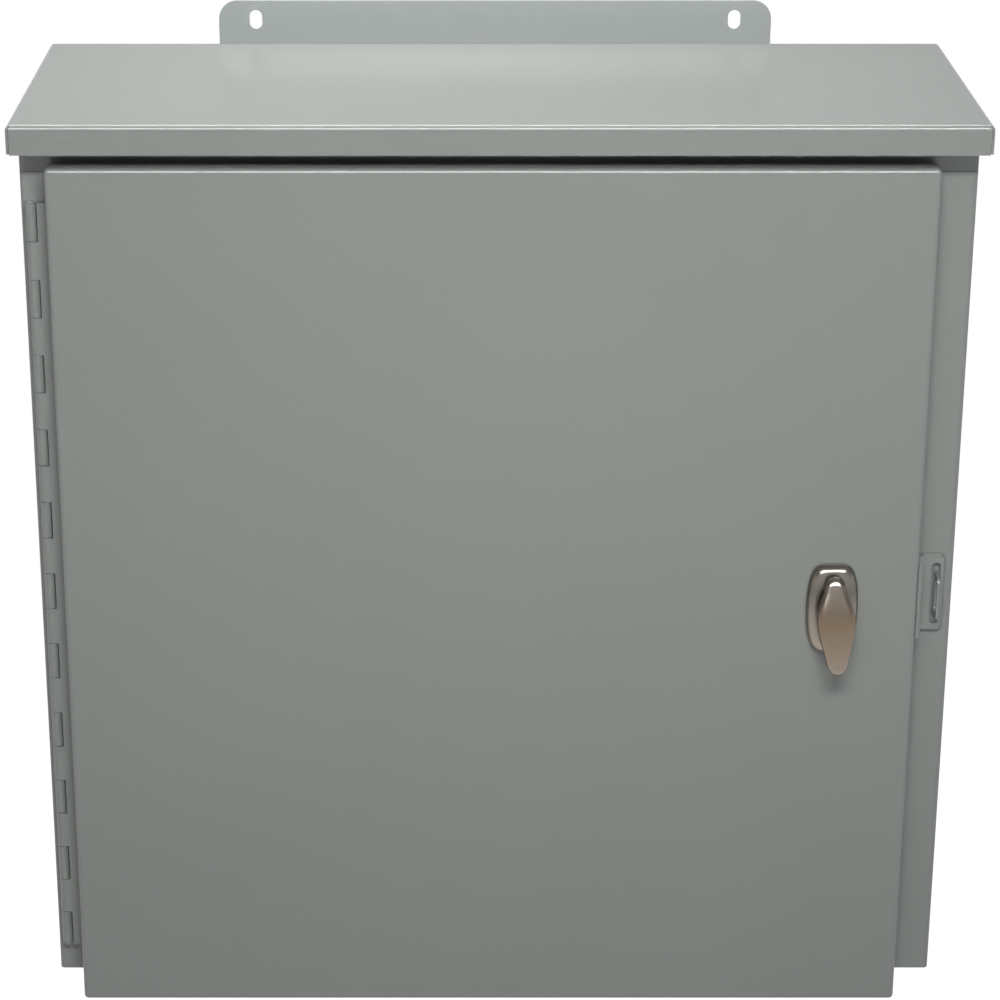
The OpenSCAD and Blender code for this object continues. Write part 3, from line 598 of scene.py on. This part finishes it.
def stud(x, z, root, end, radius, pitch, collar=()):
    """Welded stud: an optional collar at its root, a thread and a chamfered end."""
    chamfer_h, chamfer_r = 0.6 * MM, 0.9 * MM
    angle = turn(48)
    start = collar[-1][0] if collar else root
    run_out = end - np.sign(end - root) * chamfer_h
    return turned(x, z, [
        (root, 0), *collar, *thread(start, run_out, radius, pitch, angle),
        (end, radius - chamfer_r), (end, 0),
    ], angle)


def hex_nut(x, z, near, far, across, bore):
    """Nut: flats at half / cos(angle from the flat's middle), cut by 30 degree cones at both faces."""
    ease, rim_share = 0.3 * MM, 0.95
    angle = turn(96)
    half = across / 2
    side = np.sign(far - near)
    flat = half / np.cos(angle % (np.pi / 3) - np.pi / 6)
    rim = rim_share * half
    cone = side * (flat - rim) * np.tan(np.pi / 6)
    return turned(x, z, [
        (near, bore + ease), (near, rim), (near + cone, flat),
        (far - cone, flat), (far, rim), (far, bore + ease),
        (far - side * ease, bore), (near + side * ease, bore), (near, bore + ease),
    ], angle)


def washer(x, z, near, far, radius, bore):
    """Flat ring with eased rims."""
    ease = 0.2 * MM
    step = ease * np.sign(far - near)
    return turned(x, z, [
        (near, bore), (near, radius - ease), (near + step, radius),
        (far - step, radius), (far, radius - ease), (far, bore), (near, bore),
    ], turn(64))


def pan_screw(x, z, head, seat, end, radius, shaft):
    """Pan-head screw: a head that falls as a share of share^2.5, with a cross-shaped recess, on a shaft."""
    fall, recess_depth = 0.75, 0.5
    arm_half, arm_ease = 0.75 * MM, 0.3 * MM
    arm_reach, reach_ease = 0.62 * radius, 0.12 * radius
    angle = turn(96)
    share = np.linspace(0, 1, 25)[:, None]
    r = radius * share
    arm = np.minimum(np.abs(np.cos(angle)), np.abs(np.sin(angle))) * r
    recess = smooth((arm_half - arm) / arm_ease) * smooth((arm_reach - r) / reach_ease)
    depth = head + (seat - head) * (fall * share ** 2.5 + recess_depth * recess)
    return turned(x, z, [*zip(depth, r), (seat, radius), (seat, shaft), (end, shaft), (end, 0)], angle)


def corners_of(node, radius):
    """Centres (x, z) of round parts of one radius at the four corners of a CAD node's box."""
    low, high = box_of(node)
    across, up = (low[0] + radius, high[0] - radius), (low[2] + radius, high[2] - radius)
    return [(x, z) for x in across for z in up]


def zinc_piece(name, shells, body, node):
    """Zinc-plated piece in the place of one CAD node."""
    make_piece(name, shells, BRIGHT_ZINC, body, "zinc_hardware", node)


def make_panel_fasteners():
    """Four collared studs that carry the back panel, with their washers and nuts."""
    collar_r, stud_r, washer_r, slack, ease = 7 * MM, 4 * MM, 8 * MM, 0.2 * MM, 0.3 * MM
    pitch, nut_w = 1.25 * MM, 13 * MM
    panel_rear = box_of("back_panel")[1][1]
    places = corners_of("panel_studs", collar_r)
    low, high = box_of("panel_studs")
    collar = [(high[1], collar_r), (panel_rear + ease, collar_r), (panel_rear, collar_r - ease)]
    studs = [stud(x, z, high[1], low[1], stud_r, pitch, collar) for x, z in places]
    zinc_piece("threaded_studs", studs, "cabinet", "panel_studs")
    low, high = box_of("panel_washers")
    washers = [washer(x, z, high[1], low[1], washer_r, stud_r + slack) for x, z in places]
    zinc_piece("flat_washers", washers, "cabinet", "panel_washers")
    low, high = box_of("panel_nuts")
    nuts = [hex_nut(x, z, high[1], low[1], nut_w, stud_r) for x, z in places]
    zinc_piece("hex_nuts", nuts, "cabinet", "panel_nuts")


def make_ground_fasteners():
    """Ground stud and its nut."""
    pitch = 1.0 * MM
    low, high = box_of("ground_stud")
    x, _, z = (low + high) / 2
    ground_r = (high[0] - low[0]) / 2
    post = stud(x, z, high[1], low[1], ground_r, pitch, [(high[1], ground_r)])
    zinc_piece("ground_post", [post], "cabinet", "ground_stud")
    low, high = box_of("ground_nut")
    nut = hex_nut(x, z, high[1], low[1], high[2] - low[2], ground_r)
    zinc_piece("ground_hex", [nut], "cabinet", "ground_nut")


def make_handle_fasteners():
    """Screws of the escutcheon, and the ring, washer and nut on the shank."""
    door_sheet, shaft_r, washer_bore, nut_bore = 1.5 * MM, 2 * MM, 3.1 * MM, 3 * MM
    low, high = box_of("escutcheon_screws")
    head_r = (high[0] - low[0]) / 2
    seat = box_of("door_pan")[0][1] + door_sheet
    screw_x = (low[0] + high[0]) / 2
    heights = (low[2] + head_r, high[2] - head_r)
    screws = [pan_screw(screw_x, z, high[1], seat, low[1], head_r, shaft_r) for z in heights]
    zinc_piece("plate_screws", screws, "door", "escutcheon_screws")
    low, high = box_of("shank_ring")
    ring = washer(SHANK[0], SHANK[2], low[1], high[1], (high[0] - low[0]) / 2, SHANK_R)
    zinc_piece("spring_ring", [ring], "handle", "shank_ring")
    low, high = box_of("cam_washer")
    flat = washer(SHANK[0], SHANK[2], low[1], high[1], (high[0] - low[0]) / 2, washer_bore)
    zinc_piece("cam_flat_washer", [flat], "handle", "cam_washer")
    low, high = box_of("cam_nut")
    nut = hex_nut(SHANK[0], SHANK[2], low[1], high[1], high[2] - low[2], nut_bore)
    zinc_piece("cam_hex", [nut], "handle", "cam_nut")


make_door_shell()
make_handle_plate()
make_handle_grip()
make_hasp_angle()
make_panel_fasteners()
make_ground_fasteners()
make_handle_fasteners()


# Floor, lights and camera

def seen_level(tree, lit, seen):
    """Strength that is one value for rays that carry light to the object, and another, given by a socket,
    for rays from the camera, mirrors or glass."""
    rays = tree.nodes.new("ShaderNodeLightPath")
    mask = rays.outputs["Is Camera Ray"]
    for label in ("Is Glossy Ray", "Is Transmission Ray"):
        either = tree.nodes.new("ShaderNodeMath")
        either.operation = "MAXIMUM"
        tree.links.new(mask, either.inputs[0])
        tree.links.new(rays.outputs[label], either.inputs[1])
        mask = either.outputs["Value"]
    level = tree.nodes.new("ShaderNodeMapRange")
    level.inputs["To Min"].default_value = lit
    tree.links.new(seen, level.inputs["To Max"])
    tree.links.new(mask, level.inputs["Value"])
    return level.outputs["Result"]


def make_floor():
    """Wide pale floor below the cabinet: it keeps the shadow, and a glow that only shows makes it white."""
    size, drop, grey, seen_glow = 14.0, 0.85, 0.5, 0.92
    z = CAD_BOX[0][2] - drop
    corners = np.array([(-1, -1), (1, -1), (1, 1), (-1, 1)]) * size / 2
    mesh = bpy.data.meshes.new("floor")
    mesh.from_pydata([(x, y, z) for x, y in corners], [], [(0, 1, 2, 3)])
    floor = bpy.data.objects.new("floor", mesh)
    bpy.context.scene.collection.objects.link(floor)
    material = bpy.data.materials.new("pale_floor")
    material.use_nodes = True
    tree = material.node_tree
    glow = tree.nodes.new("ShaderNodeValue")
    glow.outputs[0].default_value = seen_glow
    shader = tree.nodes["Principled BSDF"]
    shader.inputs["Base Color"].default_value = (grey, grey, grey, 1)
    shader.inputs["Roughness"].default_value = 0.9
    shader.inputs["Emission Color"].default_value = (*WHITE, 1)
    tree.links.new(seen_level(tree, 0.0, glow.outputs[0]), shader.inputs["Emission Strength"])
    mesh.materials.append(material)


def make_world():
    """Studio: to the camera and to reflections white all round and dim overhead, and dimmer as a light."""
    light, overhead = 0.17, 0.32
    dim_from, white_from = -0.24, -0.06
    world = bpy.data.worlds.new("studio")
    bpy.context.scene.world = world
    world.use_nodes = True
    tree = world.node_tree
    back = tree.nodes["Background"]
    back.inputs["Color"].default_value = (*WHITE, 1)
    ray = tree.nodes.new("ShaderNodeNewGeometry")
    parts = tree.nodes.new("ShaderNodeSeparateXYZ")
    tree.links.new(ray.outputs["Incoming"], parts.inputs["Vector"])
    seen = map_range(tree, parts.outputs["Z"], dim_from, white_from, overhead, 1.0)
    tree.links.new(seen_level(tree, light, seen), back.inputs["Strength"])


def make_lamp(name, place, aim, size, power, spread=180, lights=True, mirrored=True):
    """Soft oblong lamp at a place, facing a point and not seen itself: it lights, is mirrored, or both."""
    data = bpy.data.lights.new(name, "AREA")
    data.shape = "RECTANGLE"
    data.size, data.size_y = size
    data.energy = power
    data.spread = math.radians(spread)
    lamp = bpy.data.objects.new(name, data)
    bpy.context.scene.collection.objects.link(lamp)
    lamp.location = place
    lamp.rotation_euler = (Vector(aim) - Vector(place)).to_track_quat("-Z", "Y").to_euler()
    lamp.visible_camera = False
    lamp.visible_diffuse = lights
    lamp.visible_glossy = mirrored


def make_lamps():
    """Low key and fill in front, light from above and behind, and two strips that only show mirrored."""
    door, roof = (0, -0.2, -0.2), (-0.08, -0.07, 0)
    beam = dict(spread=70, mirrored=False)
    make_lamp("key", (0.42, -1.5, -0.15), door, size=(0.3, 0.1), power=0.42, **beam)
    make_lamp("fill", (-0.4, -1.5, -0.15), door, size=(0.6, 0.1), power=0.29, **beam)
    make_lamp("upper", (0.1, -1.45, 0.75), (0, -0.2, -0.3), size=(0.6, 0.14), power=15.2, mirrored=False)
    make_lamp("overhead", (-0.08, -0.05, 0.55), roof, size=(0.5, 0.3), power=4.9, mirrored=False)
    make_lamp("front_strip", (0.1, -1.5, 0.7), (0, -0.2, 0), size=(2.4, 0.4), power=68, lights=False)
    make_lamp("rear_strip", (0, 0.9, 1.15), (0, -0.2, 0), size=(2.4, 0.3), power=44, lights=False)
    make_lamp("rear_fill", (-0.5, 1.9, 0.2), (0, 0, -0.3), size=(1.4, 0.8), power=9, mirrored=False)


def make_camera():
    """Camera at the photograph's place, level in roll and looking straight at the wall, tipped down."""
    data = bpy.data.cameras.new("camera")
    data.sensor_width = CAMERA_SENSOR
    data.lens = CAMERA_LENS
    data.shift_x, data.shift_y = CAMERA_SHIFT
    camera = bpy.data.objects.new("camera", data)
    bpy.context.scene.collection.objects.link(camera)
    camera.location = CAMERA_PLACE
    camera.rotation_euler = (math.radians(90 - CAMERA_PITCH), 0, 0)
    bpy.context.scene.camera = camera


make_floor()
make_world()
make_lamps()
make_camera()
bpy.context.scene.view_settings.view_transform = "Standard"
